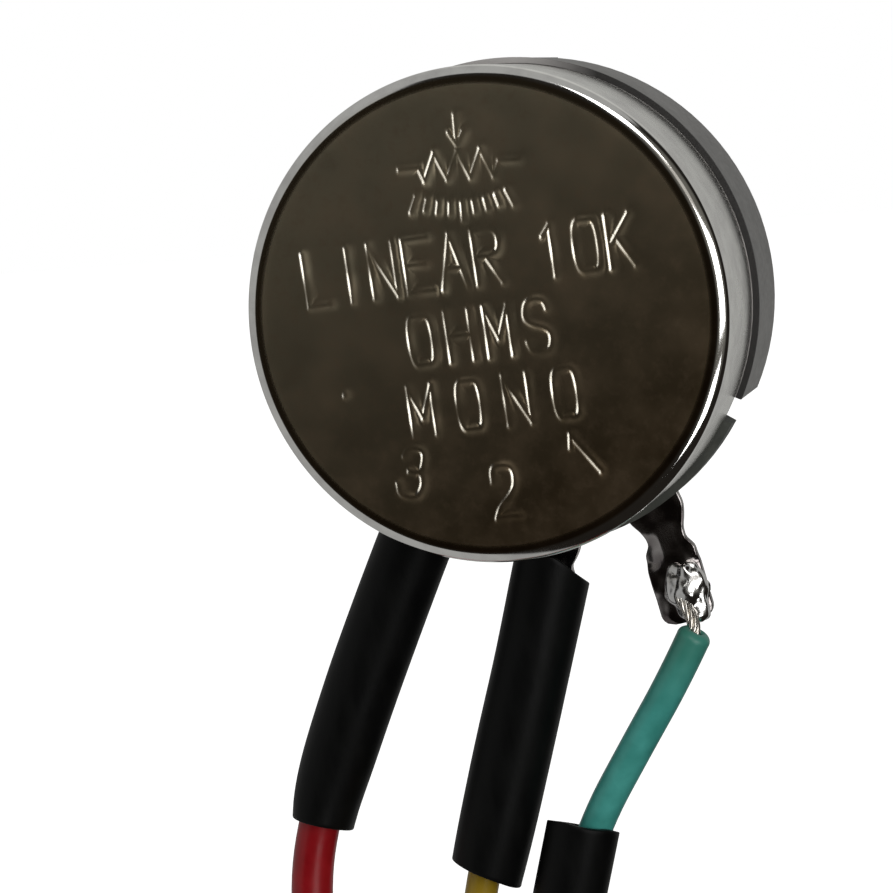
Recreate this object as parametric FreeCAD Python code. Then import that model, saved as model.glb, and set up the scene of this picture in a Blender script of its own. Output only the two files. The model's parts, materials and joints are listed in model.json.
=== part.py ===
"""Rotary panel potentiometer, 24 mm body, with three soldered leads.

Row frame, in millimetres: the shaft's axis is Y and the panel face of the body is at y = 0.
+Y runs through the panel and along the shaft, -Y is the rear cover, and the middle terminal
points along -Z. The leads hang down from the terminals and are wound into three small coils.
"""

import FreeCAD, Part
import math
import os

from FreeCAD import Vector

# Body
BODY_R = 12.0
BODY_DEPTH = 5.0
BODY_WALL = 0.6
PLATE_T = 1.2
PLATE_R_AT_TERMINALS = 10.8
LEDGE_W = 0.8
CUTOUT_HALF_DEG = 64.0
TAB_W = 2.6
TAB_HEIGHT = 2.4
RIM_ROUND = 0.12

# Rear cover
COVER_R = 11.7
COVER_REAR = 11.4
COVER_WALL = 0.45
COVER_CORNER_R = 0.8

# Bushing, nut and washer. The thread is M9 x 0.75, drawn as a cylinder at its pitch radius.
PILOT_R = 4.5
PILOT_LEN = 2.0
THREAD_R = 4.25
BUSHING_LEN = 8.0
BUSHING_SEAT_R = 5.0
FLANGE_R = 6.2
FLANGE_T = 1.2
PANEL_GAP = 3.0
WASHER_T = 0.6
WASHER_R = 6.6
NUT_T = 2.2
NUT_ACROSS_FLATS = 11.0
NUT_BORE_R = 4.5

# Shaft and what turns with it
SHAFT_R = 3.0
SHAFT_TIP = 20.0
SHAFT_RUNNING_GAP = 0.03
SLOT_W = 1.0
SLOT_DEPTH = 1.6
TIP_CHAMFER = 0.5
GROOVE_R = 2.45
RING_R = 4.2
RING_T = 0.6
COLLAR_R = 4.0
COLLAR_T = 0.5
TAIL_R = 2.4
TAIL_FLAT = 1.9
ROTOR_R = 8.6
ROTOR_T = 1.4
ROTOR_FRONT = -5.9
ROTOR_LUG_R = 10.2
ROTOR_LUG_HALF_DEG = 10.0
RIVET_HEAD_T = 0.7

# Rotation stop: travel is 150 degrees each way from the middle
TRAVEL_HALF_DEG = 150.0
STOP_SLACK_DEG = 0.4
STOP_INNER_R = 9.2
STOP_OUTER_R = 10.8
STOP_PLATE_T = 0.5

# Terminal board
BOARD_T = 1.4
BOARD_R = 11.3
BOARD_R_AT_TERMINALS = 12.1
BOARD_HALF_DEG = 58.0
BOARD_HOLE_R = 4.4
FILM_T = 0.1
TRACK_R = (8.0, 9.4)
TRACK_GAP_HALF_DEG = 33.0
PAD_R = (8.0, 11.1)
PAD_GAP_HALF_DEG = 25.0
COLLECTOR_R = (5.0, 6.4)

# Terminals: number, angle of the rivet from -Z, direction and length of the lug
TERMINALS = {
    1: {"at_deg": 29.0, "lug_deg": 12.0, "lug_len": 5.75},
    2: {"at_deg": 2.5, "lug_deg": -14.5, "lug_len": 5.0},
    3: {"at_deg": -29.0, "lug_deg": -25.5, "lug_len": 5.0},
}
TERMINAL_T = 0.5
RIVET_AT_R = 10.4
RIVET_R = 0.5
RIVET_HEAD_R = 0.75
RIVET_HEAD_H = 0.35
ROOT_W = 2.4
NECK_W = 1.9
EYELET_W = 2.65
EYELET_LEN = 3.6
EYELET_HOLE_R = 0.65
BEND_AT_R = 12.3

# Solder and bare wire at the terminals
SOLDER_BASE_R = 1.15
SOLDER_H = 0.85
CONDUCTOR_R = 0.34
CONDUCTOR_GAP = 0.02

# Heat-shrink sleeves, not shrunk: top centre, and direction from -Z in the XZ plane
SLEEVE_R = 1.9
SLEEVE_BORE_R = 1.62
SLEEVE_LEN = 16.4
SLEEVES = {
    "sleeve_terminal_3": {"top": (-6.65, -3.6, -11.75), "deg": -24.6},
    "sleeve_terminal_2": {"top": (0.4, -3.6, -13.4), "deg": -16.9},
    "sleeve_loose": {"top": (1.02, -4.0, -26.7), "deg": -15.5},
}

# Coils of the put-away lead: all on one axis, parallel to Y
COIL_X = 2.0
COIL_Z = -58.0
COIL_TURNS = 2
TAIL_LEN = 13.0
TIP_R = 0.4
TIP_LEN = 4.0

# Leads. The route runs from the terminal to the start of the coil. entry_y and step_y give the
# plane in which the coil starts, and the way it grows along Y.
LEADS = {
    "red": {
        "terminal": 3, "diameter": 2.2, "coil_r": 11.0, "entry_y": -6.25, "step_y": -1,
        "route": [
            (-8.6, -3.95, -16.15), (-10.6, -3.7, -20.7), (-12.85, -3.6, -25.2),
            (-14.15, -3.8, -30.3), (-13.6, -4.6, -36.0), (-11.9, -5.4, -41.6),
            (-10.0, -6.0, -47.0), (-9.1, -6.25, -52.4), (-9.0, -6.25, -58.0),
        ],
    },
    "yellow": {
        "terminal": 2, "diameter": 1.7, "coil_r": 10.0, "entry_y": 1.2, "step_y": 1,
        "route": [
            (-1.3, -3.95, -18.1), (-2.3, -3.7, -22.4), (-3.95, -3.6, -27.0),
            (-5.15, -3.6, -31.6), (-6.4, -3.0, -36.9), (-7.2, -1.6, -42.2),
            (-7.9, 0.0, -47.4), (-8.1, 1.1, -52.6), (-8.0, 1.2, -58.0),
        ],
    },
    "green": {
        "terminal": 1, "diameter": 1.7, "coil_r": 10.0, "entry_y": -4.1, "step_y": 1,
        "route": [
            (7.7, -4.55, -16.6), (6.35, -4.5, -19.1), (4.3, -4.35, -22.3),
            (1.62, -4.15, -26.6), (-0.25, -4.0, -31.6), (-1.65, -4.0, -36.4),
            (-2.75, -4.0, -41.1), (-4.4, -4.0, -45.3), (-6.5, -4.05, -49.3),
            (-7.85, -4.1, -53.6), (-8.0, -4.1, -58.0),
        ],
    },
}

# Tie round the three coils
TIE_W = 2.0
TIE_T = 0.7
TIE_GAP = 0.15

AXIS = Vector(0, 1, 0)
BOARD_REAR = -BODY_DEPTH
BOARD_FRONT = BOARD_REAR + BOARD_T
TERMINAL_FRONT = BOARD_FRONT + TERMINAL_T
COVER_FLOOR = -(COVER_REAR - COVER_WALL)
ROTOR_REAR = ROTOR_FRONT - ROTOR_T
GROOVE_Y = BUSHING_LEN + 0.05
SHAFT_SHOULDER = -(PLATE_T + FLANGE_T) - 0.5


def disc(radius, y_low, y_high, hole=0.0):
    """A disc or ring on the shaft's axis."""
    solid = Part.makeCylinder(radius, y_high - y_low, Vector(0, y_low, 0), AXIS)
    if hole:
        solid = solid.cut(Part.makeCylinder(hole, y_high - y_low, Vector(0, y_low, 0), AXIS))
    return solid


def polar(radius, degrees, y=0.0):
    """The point at that radius, at that angle from -Z towards +X."""
    angle = math.radians(degrees)
    return Vector(radius * math.sin(angle), y, -radius * math.cos(angle))


def wedge(radius, from_deg, to_deg, y_low, y_high):
    """A pie slice on the axis, between two angles from -Z towards +X."""
    middle = polar(radius, (from_deg + to_deg) / 2, y_low)
    start = polar(radius, from_deg, y_low)
    end = polar(radius, to_deg, y_low)
    centre = Vector(0, y_low, 0)
    edges = [
        Part.makeLine(centre, start),
        Part.Arc(start, middle, end).toShape(),
        Part.makeLine(end, centre),
    ]
    return Part.Face(Part.Wire(edges)).extrude(AXIS * (y_high - y_low))


def ring_sector(radii, from_deg, to_deg, y_low, y_high):
    """A piece of a flat ring, between two angles from -Z towards +X."""
    inner, outer = radii
    return wedge(outer, from_deg, to_deg, y_low, y_high).cut(disc(inner, y_low, y_high))


def box(x_range, y_range, z_range):
    """A box from its limits along X, Y and Z."""
    low = Vector(x_range[0], y_range[0], z_range[0])
    high = Vector(x_range[1], y_range[1], z_range[1])
    size = high - low
    return Part.makeBox(size.x, size.y, size.z, low)


def rod(start, end, radius):
    """A cylinder from one point to another."""
    return Part.makeCylinder(radius, (end - start).Length, start, end - start)


def strip(start, end, width, y_low, y_high):
    """A flat bar between two points of the XZ plane."""
    along = Vector(end.x - start.x, 0, end.z - start.z)
    side = AXIS.cross(along).normalize() * (width / 2)
    base = Vector(start.x, y_low, start.z)
    corners = [base + side, base + side + along, base - side + along, base - side]
    face = Part.Face(Part.makePolygon(corners + corners[:1]))
    return face.extrude(AXIS * (y_high - y_low))


def upright(point, radius, y_low, y_high):
    """A cylinder parallel to the axis, through a point of the XZ plane."""
    return Part.makeCylinder(radius, y_high - y_low, Vector(point.x, y_low, point.z), AXIS)


def rounded(solid, radius, round_r):
    """The solid with its outer circular edges of that radius rounded."""
    rims = [
        e for e in solid.Edges
        if isinstance(e.Curve, Part.Circle) and abs(e.Curve.Radius - radius) < 1e-6
    ]
    return solid.makeFillet(round_r, rims)


def front_housing():
    wall = disc(BODY_R, -BODY_DEPTH, 0, BODY_R - BODY_WALL)
    wall = rounded(wall, BODY_R, RIM_ROUND)
    ledge = disc(BODY_R - BODY_WALL, BOARD_FRONT, -PLATE_T, BODY_R - BODY_WALL - LEDGE_W)
    plate = disc(BODY_R - BODY_WALL, -PLATE_T, 0, BUSHING_SEAT_R)
    solid = wall.fuse([ledge, plate])
    half = CUTOUT_HALF_DEG
    beyond_plate = ring_sector((PLATE_R_AT_TERMINALS, BODY_R + 1), -half, half, -BODY_DEPTH, 0)
    behind_plate = ring_sector((BUSHING_SEAT_R, BODY_R + 1), -half, half, -BODY_DEPTH, -PLATE_T)
    solid = solid.cut([beyond_plate, behind_plate])
    tab_inner = BODY_R - BODY_WALL
    notch = box((-TAB_W / 2, TAB_W / 2), (-PLATE_T, 0), (tab_inner - 0.4, BODY_R + 1))
    tab = box((-TAB_W / 2, TAB_W / 2), (-PLATE_T, TAB_HEIGHT), (tab_inner, BODY_R + 1))
    tab = tab.common(disc(BODY_R, -PLATE_T, TAB_HEIGHT))
    return solid.cut(notch).fuse(tab).removeSplitter()


def threaded_bushing():
    flange_rear = -(PLATE_T + FLANGE_T)
    solid = disc(FLANGE_R, flange_rear, -PLATE_T)
    solid = solid.fuse(disc(BUSHING_SEAT_R, -PLATE_T, 0))
    solid = solid.fuse(disc(PILOT_R, 0, PILOT_LEN))
    thread = disc(THREAD_R, PILOT_LEN, BUSHING_LEN)
    end_edges = [e for e in thread.Edges if abs(e.BoundBox.YMin - BUSHING_LEN) < 1e-6]
    solid = solid.fuse(thread.makeChamfer(0.3, end_edges))
    return solid.cut(disc(SHAFT_R + SHAFT_RUNNING_GAP, flange_rear, BUSHING_LEN))


def shaft():
    solid = disc(SHAFT_R, SHAFT_SHOULDER, SHAFT_TIP)
    tip_edges = [e for e in solid.Edges if abs(e.BoundBox.YMin - SHAFT_TIP) < 1e-6]
    solid = solid.makeChamfer(TIP_CHAMFER, tip_edges)
    solid = solid.cut(disc(SHAFT_R + 1, GROOVE_Y, GROOVE_Y + RING_T, GROOVE_R))
    slot = box(
        (-SHAFT_R - 1, SHAFT_R + 1),
        (SHAFT_TIP - SLOT_DEPTH, SHAFT_TIP + 1),
        (-SLOT_W / 2, SLOT_W / 2),
    )
    solid = solid.cut(slot)
    collar = disc(COLLAR_R, SHAFT_SHOULDER - COLLAR_T, SHAFT_SHOULDER)
    tail = drive_flat(TAIL_R, ROTOR_REAR, SHAFT_SHOULDER - COLLAR_T)
    head = disc(SHAFT_R, ROTOR_REAR - RIVET_HEAD_T, ROTOR_REAR)
    return solid.fuse([collar, tail, head]).removeSplitter()


def drive_flat(radius, y_low, y_high):
    """A round bar with one flat, which drives the rotor."""
    flat = box((-radius - 1, radius + 1), (y_low, y_high), (TAIL_FLAT, radius + 1))
    return disc(radius, y_low, y_high).cut(flat)


def retaining_ring():
    ring = disc(RING_R, GROOVE_Y, GROOVE_Y + RING_T, GROOVE_R)
    mouth = box((-1.3, 1.3), (GROOVE_Y, GROOVE_Y + RING_T), (-RING_R - 1, 0))
    return ring.cut(mouth)


def thrust_washer():
    rear = SHAFT_SHOULDER + 0.05
    front = -(PLATE_T + FLANGE_T) - 0.05
    return disc(5.4, rear, front, SHAFT_R + 0.1)


def rotor():
    solid = disc(ROTOR_R, ROTOR_REAR, ROTOR_FRONT)
    lug = wedge(
        ROTOR_LUG_R, 180 - ROTOR_LUG_HALF_DEG, 180 + ROTOR_LUG_HALF_DEG, ROTOR_REAR, ROTOR_FRONT
    )
    return solid.fuse(lug).cut(drive_flat(TAIL_R, ROTOR_REAR, ROTOR_FRONT)).removeSplitter()


def wiper_spring():
    """A bronze blade under the rotor, with one finger on the track and one on the collector."""
    plate_front = ROTOR_FRONT + 0.2
    blade = ring_sector((4.9, 8.4), 155, 205, ROTOR_FRONT, plate_front)
    fingers = [finger(8.35, 9.05, plate_front), finger(5.3, 6.1, plate_front)]
    bridge = box((-1.2, 0.6), (ROTOR_FRONT, plate_front), (8.2, 9.05))
    return blade.fuse([bridge] + fingers).removeSplitter()


def finger(z_low, z_high, plate_front):
    """A sprung arm that slopes from the blade to 0.03 mm above the film, with a rounded toe."""
    film = BOARD_REAR - FILM_T - 0.03
    profile = [
        (-1.2, plate_front), (0.6, plate_front - 0.2), (2.2, film - 0.2),
        (3.0, film - 0.25), (2.95, film - 0.07), (2.3, film), (0.6, plate_front),
    ]
    corners = [Vector(x, y, z_low) for x, y in profile]
    face = Part.Face(Part.makePolygon(corners + corners[:1]))
    return face.extrude(Vector(0, 0, z_high - z_low))


def stop_plate():
    """A steel plate on the cover's floor, with a bent tab that the rotor's lug runs against."""
    front = COVER_FLOOR + STOP_PLATE_T
    half = 180 - TRAVEL_HALF_DEG - ROTOR_LUG_HALF_DEG - STOP_SLACK_DEG
    plate = disc(STOP_OUTER_R, COVER_FLOOR, front, 6.5)
    tab = ring_sector((STOP_INNER_R, STOP_OUTER_R), -half, half, front, ROTOR_FRONT - 0.2)
    return plate.fuse(tab).removeSplitter()


def rear_cover():
    """A drawn cup: a disc and a wall, with a rounded corner outside and inside."""
    outer = disc(COVER_R, -COVER_REAR, -BODY_DEPTH)
    rear_edges = [e for e in outer.Edges if abs(e.BoundBox.YMax + COVER_REAR) < 1e-6]
    outer = outer.makeFillet(COVER_CORNER_R, rear_edges)
    inner = disc(COVER_R - COVER_WALL, COVER_FLOOR, -BODY_DEPTH)
    floor_edges = [e for e in inner.Edges if abs(e.BoundBox.YMax - COVER_FLOOR) < 1e-6]
    inner = inner.makeFillet(COVER_CORNER_R - COVER_WALL, floor_edges)
    return outer.cut(inner)


def terminal_board():
    solid = disc(BOARD_R, BOARD_REAR, BOARD_FRONT)
    apron = wedge(
        BOARD_R_AT_TERMINALS, -BOARD_HALF_DEG, BOARD_HALF_DEG, BOARD_REAR, BOARD_FRONT
    )
    solid = solid.fuse(apron).cut(disc(BOARD_HOLE_R, BOARD_REAR, BOARD_FRONT))
    return solid.cut(rivet_holes(BOARD_REAR, BOARD_FRONT)).removeSplitter()


def rivet_holes(y_low, y_high):
    return [upright(rivet_point(n), RIVET_R, y_low, y_high) for n in TERMINALS]


def rivet_point(number):
    return polar(RIVET_AT_R, TERMINALS[number]["at_deg"])


def carbon_track():
    return ring_sector(
        TRACK_R, TRACK_GAP_HALF_DEG, 360 - TRACK_GAP_HALF_DEG, BOARD_REAR - FILM_T, BOARD_REAR
    )


def end_pads():
    low, high = PAD_GAP_HALF_DEG, TRACK_GAP_HALF_DEG
    pads = [
        ring_sector(PAD_R, low, high, BOARD_REAR - FILM_T, BOARD_REAR),
        ring_sector(PAD_R, -high, -low, BOARD_REAR - FILM_T, BOARD_REAR),
    ]
    holes = rivet_holes(BOARD_REAR - FILM_T, BOARD_REAR)
    return Part.makeCompound([pad.cut(holes) for pad in pads])


def collector_ring():
    rear = BOARD_REAR - FILM_T
    ring = disc(COLLECTOR_R[1], rear, BOARD_REAR, COLLECTOR_R[0])
    tongue = box((-0.9, 0.9), (rear, BOARD_REAR), (-PAD_R[1], -COLLECTOR_R[1] + 0.3))
    return ring.fuse(tongue).cut(rivet_holes(rear, BOARD_REAR)).removeSplitter()


def terminal_rivets():
    """Three rivets, each through the film, the board and a terminal."""
    rivets = []
    for number in TERMINALS:
        at = rivet_point(number)
        rear, front = BOARD_REAR - FILM_T, TERMINAL_FRONT
        shank = upright(at, RIVET_R, rear, front)
        rear_head = upright(at, RIVET_HEAD_R, rear - RIVET_HEAD_H, rear)
        front_head = upright(at, RIVET_HEAD_R, front, front + RIVET_HEAD_H)
        rivets.append(shank.fuse([rear_head, front_head]))
    return Part.makeCompound(rivets)


def lug_direction(number):
    return polar(1.0, TERMINALS[number]["lug_deg"])


def lug_bend(number):
    return polar(BEND_AT_R, TERMINALS[number]["at_deg"])


def lug_tip(number):
    return lug_bend(number) + lug_direction(number) * TERMINALS[number]["lug_len"]


def eyelet(number):
    return lug_tip(number) - lug_direction(number) * (EYELET_LEN / 2)


def terminal(number):
    """A stamped lug: riveted root, neck, and an eyelet end with a rounded tip."""
    low, high = BOARD_FRONT, TERMINAL_FRONT
    root, bend, tip = rivet_point(number), lug_bend(number), lug_tip(number)
    along = lug_direction(number)
    start = tip - along * EYELET_LEN
    solid = upright(root, ROOT_W / 2 + 0.3, low, high)
    solid = solid.fuse(strip(root, bend, ROOT_W, low, high))
    solid = solid.fuse(upright(bend, NECK_W / 2, low, high))
    solid = solid.fuse(strip(bend, start + along * 0.2, NECK_W, low, high))
    end = strip(start, tip, EYELET_W, low, high)
    corners = [e for e in end.Edges if abs(e.tangentAt(e.FirstParameter).dot(AXIS)) > 0.99]
    solid = solid.fuse(end.makeFillet(0.7, corners))
    solid = solid.cut(upright(eyelet(number), EYELET_HOLE_R, low, high))
    return solid.cut(upright(root, RIVET_R, low, high)).removeSplitter()


def conductor(lead):
    """The bare strands from the solder to the start of the insulation."""
    number = lead["terminal"]
    end = Vector(*lead["route"][0])
    on_lug = eyelet(number) + lug_direction(number) * 0.3
    start = Vector(on_lug.x, BOARD_FRONT - CONDUCTOR_R - CONDUCTOR_GAP, on_lug.z)
    return rod(start, end, CONDUCTOR_R)


def solder_joint(lead):
    """A dome of solder over the eyelet, round the end of the conductor."""
    ball_r = (SOLDER_BASE_R**2 + SOLDER_H**2) / (2 * SOLDER_H)
    at = eyelet(lead["terminal"])
    centre = Vector(at.x, BOARD_FRONT - SOLDER_H + ball_r, at.z)
    below = box((-20, 20), (BOARD_FRONT, 20), (-30, 0))
    return Part.makeSphere(ball_r, centre).cut(below).cut(conductor(lead))


def sleeve(spec):
    top = Vector(*spec["top"])
    bottom = top + polar(SLEEVE_LEN, spec["deg"])
    return rod(top, bottom, SLEEVE_R).cut(rod(top, bottom, SLEEVE_BORE_R))


def smooth_wire(points):
    """Straight runs joined by tangent arcs, each as large as its two runs allow."""
    points = [Vector(*p) for p in points]
    edges, radii, last = [], [], points[0]
    for before, corner, after in zip(points, points[1:], points[2:]):
        way_in = (corner - before).normalize()
        way_out = (after - corner).normalize()
        cut = 0.45 * min((corner - before).Length, (after - corner).Length)
        half_turn = way_in.getAngle(way_out) / 2
        radius = cut / math.tan(half_turn)
        start, end = corner - way_in * cut, corner + way_out * cut
        inward = (way_out - way_in).normalize()
        middle = corner + inward * (radius / math.cos(half_turn) - radius)
        edges.append(Part.LineSegment(last, start).toShape())
        edges.append(Part.Arc(start, middle, end).toShape())
        radii.append(radius)
        last = end
    edges.append(Part.LineSegment(last, points[-1]).toShape())
    return Part.Wire(edges), radii


def tube(name, points, diameter):
    """A round tube along a route, whose volume is checked against its length."""
    wire, radii = smooth_wire(points)
    start = Vector(*points[0])
    first_edge = wire.Edges[0]
    section = Part.Circle(start, first_edge.tangentAt(first_edge.FirstParameter), diameter / 2)
    solid = wire.makePipeShell([Part.Wire(section.toShape())], True, False)
    ideal = math.pi * diameter**2 / 4 * wire.Length
    print(
        f"{name}: length {wire.Length:.1f} mm, smallest radius {min(radii):.1f} mm,"
        f" volume is {solid.Volume / ideal:.3f} of section times length"
    )
    print("   radii", [round(r, 1) for r in radii])
    return solid


def coil_y_range(lead):
    """The two ends of the coil along Y."""
    start = lead["entry_y"] - lead["step_y"] * lead["diameter"] / 2
    end = start + lead["step_y"] * (COIL_TURNS + 1) * lead["diameter"]
    return min(start, end), max(start, end)


def coil(lead):
    """The outer shape of the coiled lead, as one ring with rounded edges."""
    low, high = coil_y_range(lead)
    radius = lead["diameter"] / 2
    at = Vector(COIL_X, low, COIL_Z)
    ring = Part.makeCylinder(lead["coil_r"] + radius, high - low, at, AXIS)
    ring = ring.cut(Part.makeCylinder(lead["coil_r"] - radius, high - low, at, AXIS))
    rims = [e for e in ring.Edges if isinstance(e.Curve, Part.Circle)]
    return ring.makeFillet(0.6 * radius, rims)


def tail_points(lead):
    """The lead's free end, which hangs down from the side of the coil."""
    x = COIL_X - lead["coil_r"]
    y = lead["entry_y"] + lead["step_y"] * COIL_TURNS * lead["diameter"]
    return [
        (x, y, COIL_Z),
        (x - 0.5, y, COIL_Z - TAIL_LEN / 2),
        (x - 0.4, y, COIL_Z - TAIL_LEN),
    ]


def outside(free_tube, wound):
    """The stretch of a tube that lies outside the coil."""
    return max(free_tube.cut(wound).Solids, key=lambda solid: solid.Volume)


def tip(lead):
    """The stripped, tinned end of the lead."""
    before, end = (Vector(*p) for p in tail_points(lead)[1:])
    return rod(end, end + (end - before).normalize() * TIP_LEN, TIP_R)


def lead_tie():
    """A flat band round the three coils, on the side away from the free ends."""
    inner_r = min(lead["coil_r"] - lead["diameter"] / 2 for lead in LEADS.values())
    outer_r = max(lead["coil_r"] + lead["diameter"] / 2 for lead in LEADS.values())
    ranges = [coil_y_range(lead) for lead in LEADS.values()]
    x = (COIL_X + inner_r - TIE_GAP, COIL_X + outer_r + TIE_GAP)
    y = (min(r[0] for r in ranges) - TIE_GAP, max(r[1] for r in ranges) + TIE_GAP)
    z = (COIL_Z - TIE_W / 2, COIL_Z + TIE_W / 2)
    band = box((x[0] - TIE_T, x[1] + TIE_T), (y[0] - TIE_T, y[1] + TIE_T), z)
    long_edges = [e for e in band.Edges if abs(e.tangentAt(e.FirstParameter).z) > 0.99]
    return band.makeFillet(TIE_T, long_edges).cut(box(x, y, z))


def panel_washer():
    """A lock washer with a ring of notches round its edge."""
    low, high = PANEL_GAP, PANEL_GAP + WASHER_T
    solid = disc(WASHER_R, low, high, NUT_BORE_R + 0.05)
    notches = [
        upright(polar(WASHER_R + 0.25, k * 30.0), 0.7, low, high) for k in range(12)
    ]
    return solid.cut(notches)


def panel_nut():
    low = PANEL_GAP + WASHER_T
    corner_r = NUT_ACROSS_FLATS / math.sqrt(3)
    corners = [polar(corner_r, 60.0 * k, low) for k in range(6)]
    prism = Part.Face(Part.makePolygon(corners + corners[:1])).extrude(AXIS * NUT_T)
    top = Part.makeCone(corner_r + 0.2, corner_r - 0.65, NUT_T, Vector(0, low, 0), AXIS)
    stretched = Part.makeCylinder(corner_r + 1, NUT_T / 2, Vector(0, low, 0), AXIS)
    return prism.common(top.fuse(stretched)).cut(disc(NUT_BORE_R, low, low + NUT_T))


def build():
    """Every node's name and shape."""
    nodes = {
        "front_housing": front_housing(),
        "threaded_bushing": threaded_bushing(),
        "thrust_washer": thrust_washer(),
        "rear_cover": rear_cover(),
        "stop_plate": stop_plate(),
        "terminal_board": terminal_board(),
        "carbon_track": carbon_track(),
        "end_pads": end_pads(),
        "collector_ring": collector_ring(),
        "terminal_rivets": terminal_rivets(),
        "shaft": shaft(),
        "retaining_ring": retaining_ring(),
        "rotor": rotor(),
        "wiper_spring": wiper_spring(),
        "panel_washer": panel_washer(),
        "panel_nut": panel_nut(),
        "lead_tie": lead_tie(),
    }
    for number in TERMINALS:
        nodes[f"terminal_{number}"] = terminal(number)
    for name, spec in SLEEVES.items():
        nodes[name] = sleeve(spec)
    for colour, lead in LEADS.items():
        number, wound = lead["terminal"], coil(lead)
        nodes[f"coil_{colour}"] = wound
        for part, points in (("lead", lead["route"]), ("tail", tail_points(lead))):
            name = f"{part}_{colour}"
            nodes[name] = outside(tube(name, points, lead["diameter"]), wound)
        strands = conductor(lead).cut(nodes[f"lead_{colour}"])
        nodes[f"solder_joint_{number}"] = solder_joint(lead)
        nodes[f"conductor_{number}"] = strands
        nodes[f"tip_{colour}"] = tip(lead)
    return nodes


def main():
    os.makedirs("parts", exist_ok=True)
    for name, shape in build().items():
        if not shape.isValid():
            print("not valid:", name)
        shape.exportStep(f"parts/{name}.step")
        print(f"{name}: {len(shape.Solids)} solids, {shape.Volume:.2f} mm3")


main()
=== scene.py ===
"""Looks of a 24 mm panel potentiometer with three soldered leads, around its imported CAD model.

Lengths are in millimetres in the CAD's frame (Y along the shaft, the panel face at y = 0, the
leads towards -Z), and MM turns them into metres. Polar angles run from -Z towards +X.
"""

import json
from math import cos, exp, hypot, pi, radians, sin, sqrt, tan

import bmesh
import bpy
import numpy as np
from mathutils import Matrix, Vector, noise
from mathutils.geometry import convex_hull_2d, delaunay_2d_cdt


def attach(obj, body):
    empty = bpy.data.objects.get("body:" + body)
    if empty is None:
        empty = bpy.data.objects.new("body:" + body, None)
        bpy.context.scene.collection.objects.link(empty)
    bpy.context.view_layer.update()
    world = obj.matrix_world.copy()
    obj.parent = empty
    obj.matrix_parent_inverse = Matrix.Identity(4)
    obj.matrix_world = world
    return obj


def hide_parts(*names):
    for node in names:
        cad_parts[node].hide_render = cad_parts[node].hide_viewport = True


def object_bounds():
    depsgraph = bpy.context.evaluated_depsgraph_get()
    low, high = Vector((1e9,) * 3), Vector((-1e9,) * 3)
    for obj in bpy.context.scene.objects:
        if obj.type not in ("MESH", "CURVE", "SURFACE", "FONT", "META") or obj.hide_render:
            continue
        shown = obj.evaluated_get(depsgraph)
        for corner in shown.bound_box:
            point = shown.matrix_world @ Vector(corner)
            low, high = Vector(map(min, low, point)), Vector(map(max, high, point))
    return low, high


MM = 0.001
MERGE_WITHIN = 1e-4

# Camera: its angles in degrees, what it looks at and from how far
VIEW_AZIMUTH = 17.16
VIEW_ELEVATION = 7.38
VIEW_ROLL = -5.0
VIEW_TARGET = (-4.165, -5.0, -6.842)
VIEW_DISTANCE = 125.0
VIEW_LENS = 100.97
SENSOR_WIDTH = 36.0

# Body, as in the CAD
BOARD_FRONT = -3.6
TERMINAL_T = 0.5
COVER_R = 11.7
COVER_REAR = -11.4
COVER_RIM = -5.0
COVER_WALL = 0.45
HOUSING_R = 12.0
HOUSING_CUTOUT_DEG = 64.0

# Rolled rear corner of the cover, and the slight droop of its face towards the corner
CORNER_ACROSS = 0.62
CORNER_ALONG = 0.46
CORNER_START_DEG = 8.0
CORNER_STEPS = 18
DROOP_START_R = 10.7
DROOP_DEG = 6.0

# Bushing, with the thread cut to both sides of the CAD's plain radius
SEAT_R = 5.0
FLANGE_R = 6.2
FLANGE_FRONT = -1.2
FLANGE_REAR = -2.4
PILOT_R = 4.5
THREAD_START = 2.0
THREAD_END = 8.0
THREAD_PITCH = 0.75
THREAD_CREST_R = 4.46
THREAD_ROOT_R = 4.04
BUSHING_BORE_R = 3.03

# Base colours of the cover's face: painted shade towards the terminals, painted light away from
# them
FACE_IN_PAINTED_SHADE = (0.245, 0.174, 0.096)
FACE_IN_PAINTED_LIGHT = (0.73, 0.64, 0.45)
FACE_STAIN = (0.6, 0.445, 0.29)
# A painted highlight for the walls of the marks that face +X, towards the lamps
FACE_PAINTED_HIGHLIGHT = (0.58, 0.545, 0.47)
DIM_STEEL = (0.78, 0.765, 0.745)
BARE_STEEL = (0.93, 0.923, 0.89)

# Where the cover's finish changes, painted light and painted highlight included: across its face,
# out from the axis, along the wall, and by how far the surface faces +X
FACE_PALER_TOWARDS = (-0.5, 0.0, 0.85)
FACE_SPAN = (-9.0, 9.0)
MARKS_END_R = (10.4, 10.6)
POLISHED_FROM_R = (10.8, 11.0)
BARE_FROM_R = (11.12, 11.24)
SATIN_FROM_Y = (-11.05, -10.8)
STEEP_FACING_X = (0.1, 0.3)

# Stamped marks on the cover
GROOVE_DEPTH = 0.055
GROOVE_STEEP_W = 0.085
GROOVE_SHALLOW_W = 0.34
ROW_TILT = 3.7
DENT_AT = (-7.06, -3.31)

# Spacing of the face's points, and how near and how far from a stroke each spacing holds
FACE_LATTICES = [(0.038, 0.0, 0.2), (0.09, 0.2, 0.6), (0.4, 0.6, 99.0)]

# Terminals: angle of the rivet and direction of the lug, both polar, the lug's length and how
# far its edges bend back
TERMINALS = {
    1: {"at_deg": 29.0, "lug_deg": 12.0, "lug_len": 5.75, "curl": 0.26},
    2: {"at_deg": 2.5, "lug_deg": -14.5, "lug_len": 5.0, "curl": 0.0},
    3: {"at_deg": -29.0, "lug_deg": -25.5, "lug_len": 5.0, "curl": 0.0},
}
RIVET_AT_R = 10.4
BEND_AT_R = 12.3
EYELET_LEN = 3.6
LUG_ROWS = 64

# Distances along a lug's line of its flattened patch and of where each edge starts to bend back
PATCH_AT = 5.1
RIGHT_BENDS_FROM = 5.3
LEFT_BENDS_FROM = 6.6

# Rounded start of the insulation
LIP_R = 0.42

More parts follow.
